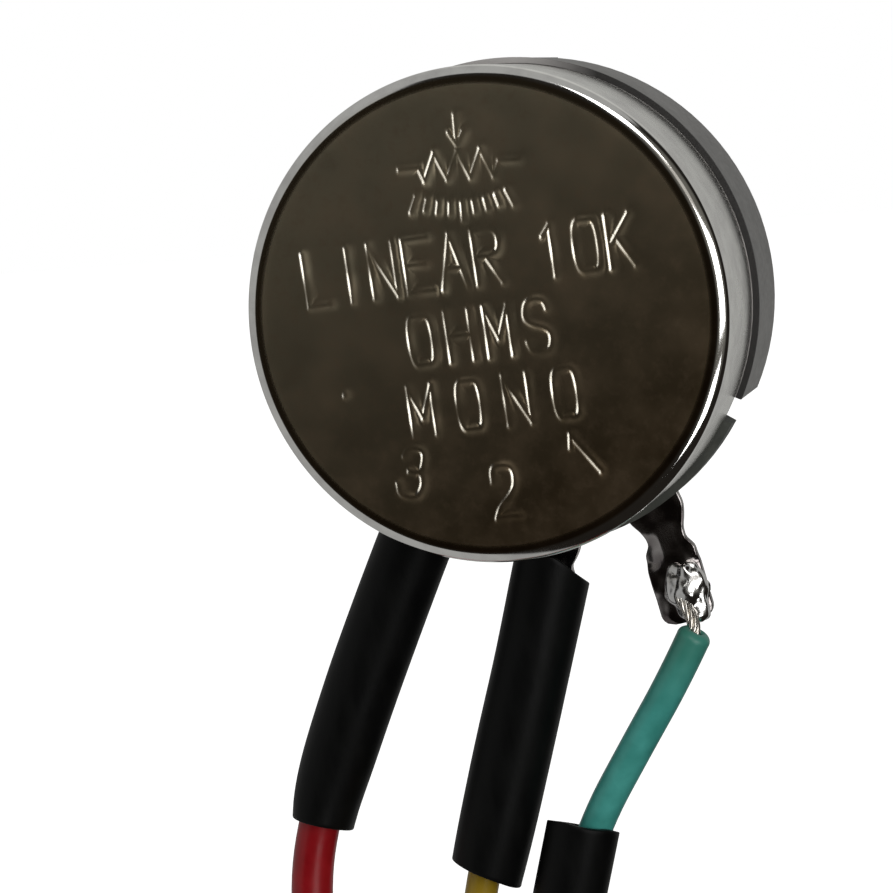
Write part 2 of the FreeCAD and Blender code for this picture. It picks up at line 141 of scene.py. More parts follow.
# Heights over which soldering dulled the insulation
HEATED_FROM_Z = (-20.5, -16.5)

# Coils of the put-away lead, and its free end
COIL_X = 2.0
COIL_Z = -58.0
COIL_TURNS = 2
POINTS_PER_TURN = 16
TAIL_LEN = 13.0
TIP_LEN = 4.0
TIE_W = 2.0
TIE_T = 0.5
TIE_CLEARANCE = 0.06
TIE_STEPS = 180

# Leads: the coil's entry and the way it steps along Y at each turn, the sleeve on the lead, and
# the route down to the coil, within half a millimetre of the CAD's
LEADS = {
    "red": {
        "terminal": 3, "diameter": 2.2, "coil_r": 11.0, "entry_y": -6.25, "step_y": -1,
        "sleeve": "sleeve_terminal_3",
        "route": [
            (-8.6, -3.95, -16.15), (-10.6, -3.7, -20.7), (-12.98, -3.6, -25.2),
            (-14.28, -3.8, -30.3), (-13.6, -4.6, -36.0), (-11.9, -5.4, -41.6),
            (-10.0, -6.0, -47.0), (-9.1, -6.25, -52.4), (-9.0, -6.25, -58.0),
        ],
    },
    "yellow": {
        "terminal": 2, "diameter": 1.7, "coil_r": 10.0, "entry_y": 1.2, "step_y": 1,
        "sleeve": "sleeve_terminal_2",
        "route": [
            (-1.3, -3.95, -18.1), (-2.3, -3.7, -22.4), (-3.95, -3.6, -27.0),
            (-5.15, -3.6, -31.6), (-6.4, -3.0, -36.9), (-7.2, -1.6, -42.2),
            (-7.9, 0.0, -47.4), (-8.1, 1.1, -52.6), (-8.0, 1.2, -58.0),
        ],
    },
    "green": {
        "terminal": 1, "diameter": 1.7, "coil_r": 10.0, "entry_y": -4.1, "step_y": 1,
        "sleeve": "sleeve_loose",
        "route": [
            (7.5, -4.55, -17.0), (6.35, -4.5, -19.1), (4.3, -4.35, -22.3),
            (1.62, -4.15, -26.6), (-0.25, -4.0, -31.6), (-1.65, -4.0, -36.4),
            (-2.75, -4.0, -41.1), (-4.4, -4.0, -45.3), (-6.5, -4.05, -49.3),
            (-7.85, -4.1, -53.6), (-8.0, -4.1, -58.0),
        ],
    },
}

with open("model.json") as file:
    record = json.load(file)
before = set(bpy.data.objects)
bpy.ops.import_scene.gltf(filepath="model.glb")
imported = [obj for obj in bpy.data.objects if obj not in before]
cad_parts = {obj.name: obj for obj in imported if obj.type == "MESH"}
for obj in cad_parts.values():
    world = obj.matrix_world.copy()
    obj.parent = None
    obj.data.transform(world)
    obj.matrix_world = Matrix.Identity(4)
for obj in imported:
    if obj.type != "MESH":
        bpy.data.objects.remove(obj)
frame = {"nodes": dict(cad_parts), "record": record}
cad_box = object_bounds()


# ---- geometry helpers

def metres(point):
    return Vector(point) * MM


def polar(radius, degrees, y=0.0):
    angle = radians(degrees)
    return Vector((radius * sin(angle), y, -radius * cos(angle)))


def circle(count):
    """The cosines and sines of evenly spaced angles."""
    angles = [2 * pi * k / count for k in range(count)]
    return [(cos(angle), sin(angle)) for angle in angles]


def smoothed(points, rounds=3):
    """A polyline with its corners cut again and again, its ends kept."""
    points = [Vector(p) for p in points]
    for _ in range(rounds):
        cut = [points[0]]
        for a, b in zip(points, points[1:]):
            cut += [a.lerp(b, 0.25), a.lerp(b, 0.75)]
        points = cut + [points[-1]]
    return points


def resampled(points, count):
    """Points evenly spaced along a polyline."""
    points = np.array([tuple(p) for p in points], float)
    along = np.concatenate([[0], np.cumsum(np.linalg.norm(np.diff(points, axis=0), axis=1))])
    at = np.linspace(0, along[-1], count)
    return [Vector([np.interp(t, along, points[:, k]) for k in range(3)]) for t in at]


def ring_faces(rings, count, wrap=True, closed=False, base=0):
    """Quads between rings of count points, numbered from base.

    With wrap each ring closes on itself, and with closed the last one meets the first.
    """
    faces = []
    for i in range(rings if closed else rings - 1):
        here, there = base + i * count, base + (i + 1) % rings * count
        for j in range(count if wrap else count - 1):
            k = (j + 1) % count
            faces.append((here + j, here + k, there + k, there + j))
    return faces


def end_faces(rings, count, base=0):
    """Flat faces over the first and the last of the rings."""
    last = base + (rings - 1) * count
    return [tuple(range(base, base + count)), tuple(reversed(range(last, last + count)))]


def add_object(name, data):
    made = bpy.data.objects.new(name, data)
    bpy.context.scene.collection.objects.link(made)
    return made


def mount(piece, nodes):
    """Rides the piece on the pot body, in place of CAD nodes if any."""
    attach(piece, "pot_body")
    if nodes:
        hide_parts(*nodes)
    return piece


def mesh_piece(name, slot, points, faces, nodes=(), sharp_deg=35.0, material=None):
    """A mounted, smooth-shaded mesh object from points in millimetres."""
    mesh = bpy.data.meshes.new(name)
    mesh.from_pydata([tuple(metres(p)) for p in points], [], faces)
    bm = bmesh.new()
    bm.from_mesh(mesh)
    bmesh.ops.remove_doubles(bm, verts=bm.verts, dist=MERGE_WITHIN * MM)
    bmesh.ops.dissolve_degenerate(bm, edges=bm.edges, dist=MERGE_WITHIN * MM)
    bmesh.ops.recalc_face_normals(bm, faces=bm.faces)
    bm.to_mesh(mesh)
    bm.free()
    mesh.polygons.foreach_set("use_smooth", [True] * len(mesh.polygons))
    mesh.set_sharp_from_angle(angle=radians(sharp_deg))
    mesh.materials.append(material or FINISH[slot])
    return mount(add_object(name, mesh), nodes)


def round_edges(piece, width_mm, from_deg):
    bevel = piece.modifiers.new("edges", "BEVEL")
    bevel.width = width_mm * MM
    bevel.segments = 3
    bevel.limit_method = "ANGLE"
    bevel.angle_limit = radians(from_deg)


def tube_frames(points):
    """Each point of a path with two directions across it, the first nearest +X."""
    frames = []
    for i, point in enumerate(points):
        ahead = points[min(i + 1, len(points) - 1)] - points[max(i - 1, 0)]
        ahead.normalize()
        side = Vector((1, 0, 0)) - ahead * ahead.x
        side.normalize()
        frames.append((point, side, ahead.cross(side)))
    return frames


# ---- material helpers

def shader(name, **sockets):
    """A new node material: its tree and its Principled shader, with constant sockets set."""
    material = bpy.data.materials.new(name)
    material.use_nodes = True
    tree = material.node_tree
    bsdf = tree.nodes["Principled BSDF"]
    for socket, value in sockets.items():
        bsdf.inputs[socket.replace("_", " ")].default_value = value
    return material, tree, bsdf


def feed(tree, socket, value):
    """Links another node's output to a socket, or sets it to a constant."""
    if isinstance(value, bpy.types.NodeSocket):
        tree.links.new(value, socket)
    else:
        socket.default_value = value


def calculated(tree, operation, first, second):
    """The result of a math node on two numbers."""
    node = tree.nodes.new("ShaderNodeMath")
    node.operation = operation
    feed(tree, node.inputs[0], first)
    feed(tree, node.inputs[1], second)
    return node.outputs[0]


def vector_math(tree, operation, first, second=(0, 0, 0)):
    """A math node on two vectors."""
    node = tree.nodes.new("ShaderNodeVectorMath")
    node.operation = operation
    feed(tree, node.inputs[0], first)
    feed(tree, node.inputs[1], second)
    return node


def scaled(tree, vector, factor):
    node = vector_math(tree, "SCALE", vector)
    tree.links.new(factor, node.inputs["Scale"])
    return node.outputs[0]


def axes(tree, vector):
    """The X, Y and Z of a vector."""
    split = tree.nodes.new("ShaderNodeSeparateXYZ")
    tree.links.new(vector, split.inputs[0])
    return split.outputs


def place(tree, stretch=(1, 1, 1)):
    """Object coordinates in millimetres, stretched along the axes."""
    where = tree.nodes.new("ShaderNodeTexCoord").outputs["Object"]
    return vector_math(tree, "MULTIPLY", where, [s / MM for s in stretch]).outputs[0]


def grain(tree, size_mm, stretch=(1, 1, 1), detail=4.0):
    """Noise whose features are about size_mm across."""
    texture = tree.nodes.new("ShaderNodeTexNoise")
    for socket, value in (("Scale", 1.0 / size_mm), ("Detail", detail), ("Roughness", 0.55)):
        texture.inputs[socket].default_value = value
    tree.links.new(place(tree, stretch), texture.inputs["Vector"])
    return texture.outputs["Fac"]


def spread(tree, factor, low, high, start=0.3, end=0.7):
    """A number that goes from low to high as the factor goes from start to end."""
    ramp = tree.nodes.new("ShaderNodeMapRange")
    for index, value in enumerate((start, end, low, high), 1):
        ramp.inputs[index].default_value = value
    tree.links.new(factor, ramp.inputs[0])
    return ramp.outputs[0]


def blend_colour(tree, factor, low, high, start=0.3, end=0.7):
    """The same between two colours."""
    mixed = tree.nodes.new("ShaderNodeMix")
    mixed.data_type = "RGBA"
    for index, colour in ((6, low), (7, high)):
        feed(tree, mixed.inputs[index], (*colour, 1) if isinstance(colour, tuple) else colour)
    tree.links.new(spread(tree, factor, 0.0, 1.0, start, end), mixed.inputs[0])
    return mixed.outputs[2]


def bump(tree, bsdf, height, depth_mm, under=None):
    """Bumps of a real depth, on top of others if they are given."""
    node = tree.nodes.new("ShaderNodeBump")
    node.inputs["Strength"].default_value = 1.0
    node.inputs["Distance"].default_value = depth_mm * MM
    tree.links.new(height, node.inputs["Height"])
    if under is not None:
        tree.links.new(under, node.inputs["Normal"])
    tree.links.new(node.outputs["Normal"], bsdf.inputs["Normal"])
    return node.outputs["Normal"]


def coat(tree, bsdf, colour, roughness):
    tree.links.new(colour, bsdf.inputs["Base Color"])
    tree.links.new(roughness, bsdf.inputs["Roughness"])


def surface(name, low, high, roughness, size_mm, bump_mm, stretch=(1, 1, 1), **sockets):
    """A finish whose colour, gloss and relief follow the same grain."""
    material, tree, bsdf = shader(name, **sockets)
    fine = grain(tree, size_mm, stretch)
    coarse = grain(tree, size_mm * 9, stretch, detail=2.0)
    colour = blend_colour(tree, coarse, low, high)
    coat(tree, bsdf, colour, spread(tree, fine, *roughness))
    bump(tree, bsdf, fine, bump_mm)
    return material


def metal(*look):
    return surface(*look, Metallic=1.0)


# ---- materials

def cover_metal():
    """The cover's plated steel: a dull, olive face inside a burnished corner and a satin wall."""
    material, tree, bsdf = shader("drawn_steel", Metallic=1.0)
    flat = place(tree, (1, 0, 1))
    radius = vector_math(tree, "LENGTH", flat).outputs["Value"]
    stains = grain(tree, 2.2)
    face = face_colour(tree, flat, radius, stains)
    steel = blend_colour(tree, grain(tree, 1.3, detail=5.0), DIM_STEEL, BARE_STEEL, 0.35, 0.6)
    rim = spread(tree, radius, 0.0, 1.0, *BARE_FROM_R)
    burnished = spread(tree, radius, 0.3, 0.09, *POLISHED_FROM_R)
    satin = spread(tree, axes(tree, place(tree))[1], 0.0, 0.17, *SATIN_FROM_Y)
    dull = calculated(tree, "ADD", burnished, satin)
    dull = calculated(tree, "ADD", dull, spread(tree, stains, -0.015, 0.02))
    coat(tree, bsdf, blend_colour(tree, rim, face, steel, 0.0, 1.0), dull)
    rolled = grain(tree, 0.3, (1, 1, 0.1), detail=3.0)
    drawn = grain(tree, 0.5, (1, 0.06, 1), detail=3.0)
    bump(tree, bsdf, drawn, 0.0006, bump(tree, bsdf, rolled, 0.0006))
    return material


def face_colour(tree, flat, radius, stains):
    """Painted shade at the terminals and painted light away, stained, and a painted highlight on
    marks facing +X.
    """
    # Painted light: paler towards the upper left, where the light falls, darker towards the
    # terminals
    slant = vector_math(tree, "DOT_PRODUCT", flat, FACE_PALER_TOWARDS).outputs["Value"]
    painted_light_colour = blend_colour(tree, slant, FACE_IN_PAINTED_SHADE, FACE_IN_PAINTED_LIGHT, *FACE_SPAN)
    stained = blend_colour(tree, stains, painted_light_colour, FACE_STAIN, 0.42, 1.1)
    specked = blend_colour(tree, grain(tree, 0.4), stained, FACE_STAIN, 0.5, 1.2)
    facing = axes(tree, tree.nodes.new("ShaderNodeNewGeometry").outputs["Normal"])
    # Painted highlight: the walls of the marks that face +X, towards the lamps, are painted pale
    steep = spread(tree, facing[0], 0.0, 1.0, *STEEP_FACING_X)
    inside = spread(tree, radius, 1.0, 0.0, *MARKS_END_R)
    painted_highlight_mask = calculated(tree, "MULTIPLY", steep, inside)
    return blend_colour(tree, painted_highlight_mask, specked, FACE_PAINTED_HIGHLIGHT, 0.0, 1.0)


def tarnished_tin():
    """Dark tin on the lugs, rubbed by handling, smoother in patches."""
    material, tree, bsdf = shader("tarnished_tin", Metallic=1.0)
    patches = grain(tree, 1.1, detail=1.5)
    colour = blend_colour(tree, patches, (0.15, 0.13, 0.13), (0.44, 0.415, 0.405), 0.4, 0.66)
    coat(tree, bsdf, colour, spread(tree, patches, 0.1, 0.24))
    relief = bump(tree, bsdf, patches, 0.012)
    bump(tree, bsdf, grain(tree, 0.3), 0.002, relief)
    return material


def solder_metal():
    """Bright solder with frosty spots."""
    material, tree, bsdf = shader("solder", Metallic=1.0)
    frost = grain(tree, 0.6, detail=2.0)
    colour = blend_colour(tree, frost, (0.7, 0.69, 0.68), (0.92, 0.91, 0.9))
    coat(tree, bsdf, colour, spread(tree, frost, 0.1, 0.26))
    bump(tree, bsdf, grain(tree, 0.6, detail=1.0), 0.015)
    return material


def sleeve_rubber():
    """Black polyolefin tube: a soft sheen, faint lines along it and fine pits."""
    material, tree, bsdf = shader("sleeve_black", Specular_IOR_Level=0.13)
    lines = grain(tree, 0.9, (1, 1, 0.3), detail=3.0)
    colour = blend_colour(tree, lines, (0.0028, 0.003, 0.003), (0.005, 0.0052, 0.005))
    coat(tree, bsdf, colour, spread(tree, lines, 0.42, 0.52))
    relief = bump(tree, bsdf, lines, 0.022)
    bump(tree, bsdf, grain(tree, 0.25, detail=2.0), 0.004, relief)
    return material


def insulation(name, low, high):
    """Glossy PVC insulation with slight handling marks, duller where soldering heated it."""
    material, tree, bsdf = shader(name, Specular_IOR_Level=0.42)
    marks = grain(tree, 1.4)
    fresh = blend_colour(tree, marks, low, high)
    heated = (low[0] * 1.1, low[1] * 0.82, low[2] * 0.72)
    height = axes(tree, place(tree))[2]
    colour = blend_colour(tree, height, fresh, heated, *HEATED_FROM_Z)
    coat(tree, bsdf, colour, spread(tree, marks, 0.28, 0.42))
    relief = bump(tree, bsdf, marks, 0.007)
    bump(tree, bsdf, grain(tree, 0.16, detail=2.0), 0.0006, relief)
    return material


def painted_gap_shade_metal():
    """The dull cut edge of the housing, in painted light on the left and at the top, and painted
    shade of the gap on the right.
    """
    material, tree, bsdf = shader("painted_gap_shade_edge", Roughness=0.6)
    across = axes(tree, place(tree))[0]
    # Painted light on the left and at the top, painted shade of the gap on the right
    colour = blend_colour(tree, across, (0.5, 0.48, 0.47), (0.02, 0.018, 0.017), 1.0, 5.0)
    tree.links.new(colour, bsdf.inputs["Base Color"])
    return material


# The material of each of the record's slots
TURNED = (0.02, 1.0, 0.02)
FINISH = {
    "cover_steel": cover_metal(),
    "housing_metal": metal(
        "satin_zinc", (0.178, 0.171, 0.168), (0.254, 0.246, 0.242), (0.34, 0.44), 0.3, 0.001
    ),
    "bushing_nickel": metal(
        "turned_nickel", (0.62, 0.6, 0.55), (0.72, 0.7, 0.66), (0.18, 0.3), 0.08, 0.002, TURNED
    ),
    "nut_nickel": metal(
        "plated_nickel", (0.64, 0.62, 0.58), (0.74, 0.73, 0.7), (0.16, 0.28), 0.25, 0.002
    ),
    "shaft_metal": metal(
        "turned_aluminium", (0.7, 0.7, 0.69), (0.8, 0.8, 0.8), (0.22, 0.36), 0.07, 0.004, TURNED
    ),
    "spring_steel": metal(
        "spring_steel", (0.34, 0.34, 0.35), (0.46, 0.46, 0.47), (0.24, 0.36), 0.1, 0.002
    ),
    "phenolic": surface(
        "dark_laminate", (0.048, 0.052, 0.045), (0.09, 0.094, 0.082), (0.42, 0.6), 0.14, 0.008,
        (1, 4, 1),
    ),
    "rotor_phenolic": surface(
        "moulded_phenolic", (0.045, 0.033, 0.026), (0.075, 0.058, 0.045), (0.4, 0.55), 0.2, 0.004
    ),
    "carbon_film": surface(
        "carbon_film", (0.018, 0.018, 0.019), (0.03, 0.03, 0.031), (0.5, 0.7), 0.05, 0.003
    ),
    "silver_film": metal(
        "silver_film", (0.62, 0.61, 0.58), (0.76, 0.75, 0.72), (0.34, 0.5), 0.06, 0.003
    ),
    "rivet_brass": metal(
        "tinned_brass", (0.5, 0.44, 0.31), (0.62, 0.55, 0.4), (0.26, 0.4), 0.15, 0.004
    ),
    "terminal_tin": tarnished_tin(),
    "bronze_spring": metal(
        "spring_bronze", (0.6, 0.38, 0.19), (0.72, 0.48, 0.26), (0.2, 0.32), 0.12, 0.002
    ),
    "fibre": surface(
        "fibre_washer", (0.24, 0.19, 0.13), (0.33, 0.27, 0.19), (0.7, 0.85), 0.1, 0.01
    ),
    "solder": solder_metal(),
    "tinned_strands": metal(
        "tinned_copper", (0.6, 0.56, 0.5), (0.74, 0.72, 0.68), (0.16, 0.3), 0.18, 0.006
    ),
    "sleeve_black": sleeve_rubber(),
    "insulation_red": insulation("red_pvc", (0.29, 0.004, 0.008), (0.4, 0.007, 0.013)),
    "insulation_yellow": insulation("yellow_pvc", (0.33, 0.21, 0.012), (0.43, 0.285, 0.02)),
    "insulation_green": insulation("green_pvc", (0.055, 0.33, 0.285), (0.088, 0.46, 0.405)),
    "tie_plastic": surface(
        "tie_nylon", (0.018, 0.018, 0.02), (0.032, 0.032, 0.034), (0.34, 0.46), 0.15, 0.004
    ),
}


def dress_cad():
    """Gives every CAD node the material of its slot in the record."""
    for subpart in frame["record"]["subparts"]:
        materials = frame["nodes"][subpart["node"]].data.materials
        materials.clear()
        materials.append(FINISH[subpart["material_slot"]])


# ---- leads

def coil_points(lead):
    """The lead's put-away turns, from nine o'clock, down first and round towards +X."""
    points = []
    growth = lead["step_y"] * lead["diameter"]
    for k in range(1, COIL_TURNS * POINTS_PER_TURN + 1):
        turn = k / POINTS_PER_TURN
        angle = pi + 2 * pi * turn
        x, z = COIL_X + lead["coil_r"] * cos(angle), COIL_Z + lead["coil_r"] * sin(angle)
        points.append((x, lead["entry_y"] + growth * turn, z))
    return points


def tail_points(lead):
    """The free end, which hangs from the coil's side."""
    x = COIL_X - lead["coil_r"]
    y = lead["entry_y"] + lead["step_y"] * COIL_TURNS * lead["diameter"]
    return [(x - 0.5, y, COIL_Z - TAIL_LEN / 2), (x - 0.4, y, COIL_Z - TAIL_LEN)]


def lead_curve(colour, lead):
    """One smooth line from the terminal through the coil to the free end."""
    curve = bpy.data.curves.new(f"wire_{colour}", "CURVE")
    curve.dimensions = "3D"
    curve.resolution_u = 8
    curve.bevel_depth = lead["diameter"] / 2 * MM
    curve.bevel_resolution = 7
    curve.use_fill_caps = True
    points = lead["route"] + coil_points(lead) + tail_points(lead)
    spline = curve.splines.new("NURBS")
    spline.points.add(len(points) - 1)
    for target, point in zip(spline.points, points):
        target.co = (*metres(point), 1)
    spline.order_u = 3
    spline.use_endpoint_u = True
    curve.materials.append(FINISH[f"insulation_{colour}"])
    piece = add_object(f"wire_{colour}", curve)
    nodes = [f"{part}_{colour}" for part in ("lead", "coil", "tail")]
    return mount(piece, nodes)


def insulation_lip(colour, lead):
    """The start of the insulation, drawn back and rounded by the soldering heat."""
    start, second = Vector(lead["route"][0]), Vector(lead["route"][1])
    ahead = (second - start).normalized()
    side = ahead.orthogonal().normalized()
    other = ahead.cross(side)
    outer = lead["diameter"] / 2
    profile = [(outer - 0.02, 0.3)]
    for k in range(9):
        angle = pi / 2 * k / 8
        inwards = LIP_R * (1 - cos(angle))
        profile.append((outer - inwards + 0.006, -LIP_R * sin(angle)))
    profile += [(outer - 0.5, -0.38), (0.3, -0.3), (0.3, 0.3)]
    count = 48
    points = []
    for r, back in profile:
        points += [start + ahead * back + (side * c + other * s) * r for c, s in circle(count)]
    faces = ring_faces(len(profile), count, closed=True)
    name, slot = f"insulation_end_{colour}", f"insulation_{colour}"
    return mesh_piece(name, slot, points, faces, sharp_deg=70.0)


def tie_path():
    """The tightest loop round the turns where they pass +X, at mid height."""
    around = []
    for lead in LEADS.values():
        radius = lead["diameter"] / 2 + TIE_CLEARANCE
        x = COIL_X + lead["coil_r"]
        for turn in range(COIL_TURNS):
            y = lead["entry_y"] + lead["step_y"] * lead["diameter"] * (turn + 0.5)
            around += [Vector((x + radius * c, y + radius * s)) for c, s in circle(48)]
    hull = [around[i] for i in convex_hull_2d(around)]
    return resampled([Vector((*p, 0)) for p in hull + hull[:1]], TIE_STEPS + 1)[:-1]


def box_faces(base):
    """The sides of a box whose corners are numbered from base, along Z, then Y, then X."""
    sides = ((0, 1, 3, 2), (4, 6, 7, 5), (0, 4, 5, 1), (2, 3, 7, 6), (0, 2, 6, 4), (1, 5, 7, 3))
    return [tuple(base + i for i in side) for side in sides]


def lead_tie():
    """A nylon tie pulled round the coils: its band, the head that grips it and the cut-off tail."""
    path = tie_path()
    middle = sum(path, Vector()) / len(path)
    half = TIE_W / 2
    profile = [(0.0, -half + 0.05), (0.05, -half), (TIE_T - 0.12, -half), (TIE_T, -half + 0.12)]
    profile += [(r, -z) for r, z in reversed(profile)]
    points = []
    for i, point in enumerate(path):
        ahead = (path[(i + 1) % len(path)] - path[i - 1]).normalized()
        out = Vector((ahead.y, -ahead.x, 0))
        if out.dot(point - middle) < 0:
            out = -out
        points += [point + out * r + Vector((0, 0, COIL_Z + z)) for r, z in profile]
    faces = ring_faces(len(path), len(profile), closed=True)
    top = max(path, key=lambda p: p.y)
    head = ((-1.2, 1.5), (0.12, 1.75), (-1.6, 1.6))
    tail = ((0.25, 0.75), (1.7, 3.0), (-half + 0.1, half - 0.1))
    for xs, ys, zs in (head, tail):
        faces += box_faces(len(points))
        points += [(top.x + x, top.y + y, COIL_Z + z) for x in xs for y in ys for z in zs]
    piece = mesh_piece("lead_tie_band", "tie_plastic", points, faces, ["lead_tie"], 40.0)
    round_edges(piece, 0.2, 60)
    return piece


def centreline(piece):
    """The points of a curve's line, in metres."""
    bare = piece.copy()
    bare.data = piece.data.copy()
    bare.data.bevel_depth = 0
    mesh = bpy.data.meshes.new_from_object(bare)
    points = [v.co.copy() for v in mesh.vertices]
    bpy.data.meshes.remove(mesh)
    bpy.data.curves.remove(bare.data)
    return points


def line_length(points):
    return sum((b - a).length for a, b in zip(points, points[1:]))


# ---- camera and light

def direction(azimuth_deg, elevation_deg):
    """The way towards an azimuth from -Y towards +X, and an elevation."""
    azimuth, elevation = radians(azimuth_deg), radians(elevation_deg)
    level = cos(elevation)
    return Vector((sin(azimuth) * level, -cos(azimuth) * level, sin(elevation)))


def add_camera():
    azimuth, roll = radians(VIEW_AZIMUTH), radians(VIEW_ROLL)
    ahead = -direction(VIEW_AZIMUTH, VIEW_ELEVATION)
    level = Vector((cos(azimuth), sin(azimuth), 0))
    above = level.cross(ahead)
    right = level * cos(roll) + above * sin(roll)
    up = above * cos(roll) - level * sin(roll)
    data = bpy.data.cameras.new("camera")
    data.lens, data.sensor_width = VIEW_LENS, SENSOR_WIDTH
    data.clip_start, data.clip_end = 0.005, 20.0
    camera = add_object("camera", data)
    turn = Matrix((right, up, -ahead)).transposed().to_4x4()
    at = metres(VIEW_TARGET) - ahead * VIEW_DISTANCE * MM
    camera.matrix_world = Matrix.Translation(at) @ turn
    bpy.context.scene.camera = camera


def window(name, azimuth_deg, elevation_deg, size_deg):
    """A plain soft box that faces the object, by the angles that it covers there."""
    away, radiance = 0.3, 4.0
    size = [2 * away * tan(radians(degrees / 2)) for degrees in size_deg]
    data = bpy.data.lights.new(name, "AREA")
    data.shape = "RECTANGLE"
    data.size, data.size_y = size
    data.energy = radiance * pi * size[0] * size[1]
    lamp = add_object(name, data)
    way = direction(azimuth_deg, elevation_deg)
    lamp.location = way * away
    lamp.rotation_mode = "QUATERNION"
    lamp.rotation_quaternion = way.to_track_quat("Z", "Y")


# The room around the object: azimuth, elevation, half angles at full strength and at none, and
# colour of each pale zone. Where zones overlap, the brighter one shows. The shade darkens what
# is inside it, and the dark room is the least that shows anywhere.
ZONES = [
    (-107, -7, 84, 87, (0.34, 0.34, 0.335)),
    (-60, 75, 46, 50, (0.36, 0.36, 0.355)),
    (176, 14, 44, 56, (0.39, 0.39, 0.378)),
    (172, 50, 16, 44, (0.52, 0.52, 0.505)),
    (42, 6, 24, 48, (0.13, 0.125, 0.11)),
    (26, 17, 7, 13, (0.5, 0.48, 0.44)),
]
SHADE = (-17, -7, 20, 24)
DARK_ROOM = (0.014, 0.012, 0.01)
FLOOR_SIDE = 3.2


def cap(tree, where, azimuth, elevation, full, zero, inside=1.0, outside=0.0):
    """A number that goes smoothly from outside to inside a round zone of the room."""
    way = direction(azimuth, elevation)
    facing = vector_math(tree, "DOT_PRODUCT", where, way).outputs["Value"]
    level = spread(tree, facing, outside, inside, cos(radians(zero)), cos(radians(full)))
    level.node.interpolation_type = "SMOOTHSTEP"
    return level


def add_world():
    """White for the camera, and for everything else a dark room with broad pale zones."""
    world = bpy.data.worlds.new("studio")
    world.use_nodes = True
    bpy.context.scene.world = world
    tree = world.node_tree
    where = tree.nodes.new("ShaderNodeTexCoord").outputs["Generated"]
    room = (0, 0, 0)
    for *zone, colour in ZONES:
        tinted = scaled(tree, colour, cap(tree, where, *zone))
        room = vector_math(tree, "MAXIMUM", room, tinted).outputs[0]
    room = scaled(tree, room, cap(tree, where, *SHADE, inside=0.0, outside=1.0))
    room = vector_math(tree, "MAXIMUM", DARK_ROOM, room).outputs[0]
    seen = tree.nodes.new("ShaderNodeMix")
    seen.data_type = "RGBA"
    tree.links.new(tree.nodes.new("ShaderNodeLightPath").outputs["Is Camera Ray"], seen.inputs[0])
    tree.links.new(room, seen.inputs[6])
    seen.inputs[7].default_value = (1, 1, 1, 1)
    tree.links.new(seen.outputs[2], tree.nodes["Background"].inputs["Color"])
    bpy.context.scene.view_settings.view_transform = "Standard"


def add_floor():
    """A floor under the hanging leads, which glows a little so that it stays pale."""
    floor_z = cad_box[0].z - 0.002
    bpy.ops.mesh.primitive_plane_add(size=FLOOR_SIDE, location=(0, 0, floor_z))
    floor = bpy.context.object
    floor.name = "floor"
    pale = {"Base_Color": (0.82, 0.82, 0.82, 1), "Emission_Color": (1, 1, 1, 1)}
    material = shader("pale_floor", Roughness=0.9, Emission_Strength=0.86, **pale)[0]
    floor.data.materials.append(material)
    floor.visible_glossy = False
    floor.visible_diffuse = False


# ---- the stamped cover

# Single-line letters in a box one unit wide and high. A stroke of over five points is a curve.
GLYPHS = {
    "0": [[(0.5, 1), (0.12, 1), (0, 0.75), (0, 0.25), (0.12, 0), (0.5, 0), (0.88, 0), (1, 0.25),
           (1, 0.75), (0.88, 1), (0.5, 1)]],
    "1": [[(0.15, 0.8), (0.5, 1), (0.5, 0)]],
    "2": [[(0.04, 0.72), (0.06, 1), (0.5, 1.04), (0.98, 0.98), (0.98, 0.62), (0.7, 0.42),
           (0.2, 0.2), (0.02, 0)], [(0.02, 0), (1, 0)]],
    "3": [[(0.08, 0.84), (0.2, 1.04), (0.9, 1.06), (0.95, 0.62), (0.75, 0.53), (0.4, 0.53)],
          [(0.4, 0.53), (0.9, 0.56), (1.08, 0.3), (0.9, -0.04), (0.15, -0.04), (0, 0.2)]],
    "A": [[(0, 0), (0.5, 1), (1, 0)], [(0.2, 0.36), (0.8, 0.36)]],
    "E": [[(1, 1), (0, 1), (0, 0), (1, 0)], [(0, 0.52), (0.8, 0.52)]],
    "H": [[(0, 1), (0, 0)], [(1, 1), (1, 0)], [(0, 0.5), (1, 0.5)]],
    "I": [[(0.5, 1), (0.5, 0)]],
    "K": [[(0, 1), (0, 0)], [(0.95, 1), (0.05, 0.42)], [(0.32, 0.6), (1, 0)]],
    "L": [[(0.08, 1), (0.08, 0), (0.95, 0)]],
    "M": [[(0, 0), (0, 1), (0.5, 0.35), (1, 1), (1, 0)]],
    "N": [[(0, 0), (0, 1), (1, 0), (1, 1)]],
    "R": [[(0, 0), (0, 1)],
          [(0, 1), (0.75, 1.02), (1.02, 0.9), (1, 0.6), (0.7, 0.5), (0, 0.5)],
          [(0.45, 0.5), (1, 0)]],
    "S": [[(0.98, 0.84), (0.85, 1.04), (0.15, 1.05), (-0.05, 0.7), (0.25, 0.55), (0.8, 0.46),
           (1.06, 0.3), (0.88, -0.05), (0.15, -0.04), (0, 0.18)]],
}
GLYPHS["O"] = GLYPHS["0"]

# Text, lower left corner of its first letter in X and Z, pitch, width, height and tilt
STAMPS = [
    ("LINEAR", (-8.5, 1.0), 1.71, 1.2, 2.5, ROW_TILT),
    ("10K", (3.2, 1.7), 1.62, 1.15, 2.35, ROW_TILT),
    ("OHMS", (-3.5, -2.1), 1.9, 1.15, 2.3, ROW_TILT),
    ("MONO", (-3.75, -5.4), 2.35, 1.15, 2.3, ROW_TILT),
    ("3", (-4.9, -8.1), 1.7, 1.15, 2.2, -14.0),
    ("2", (-0.05, -9.5), 1.7, 1.15, 2.4, ROW_TILT),
    ("1", (4.75, -7.8), 1.7, 1.1, 2.2, 38.0),
]


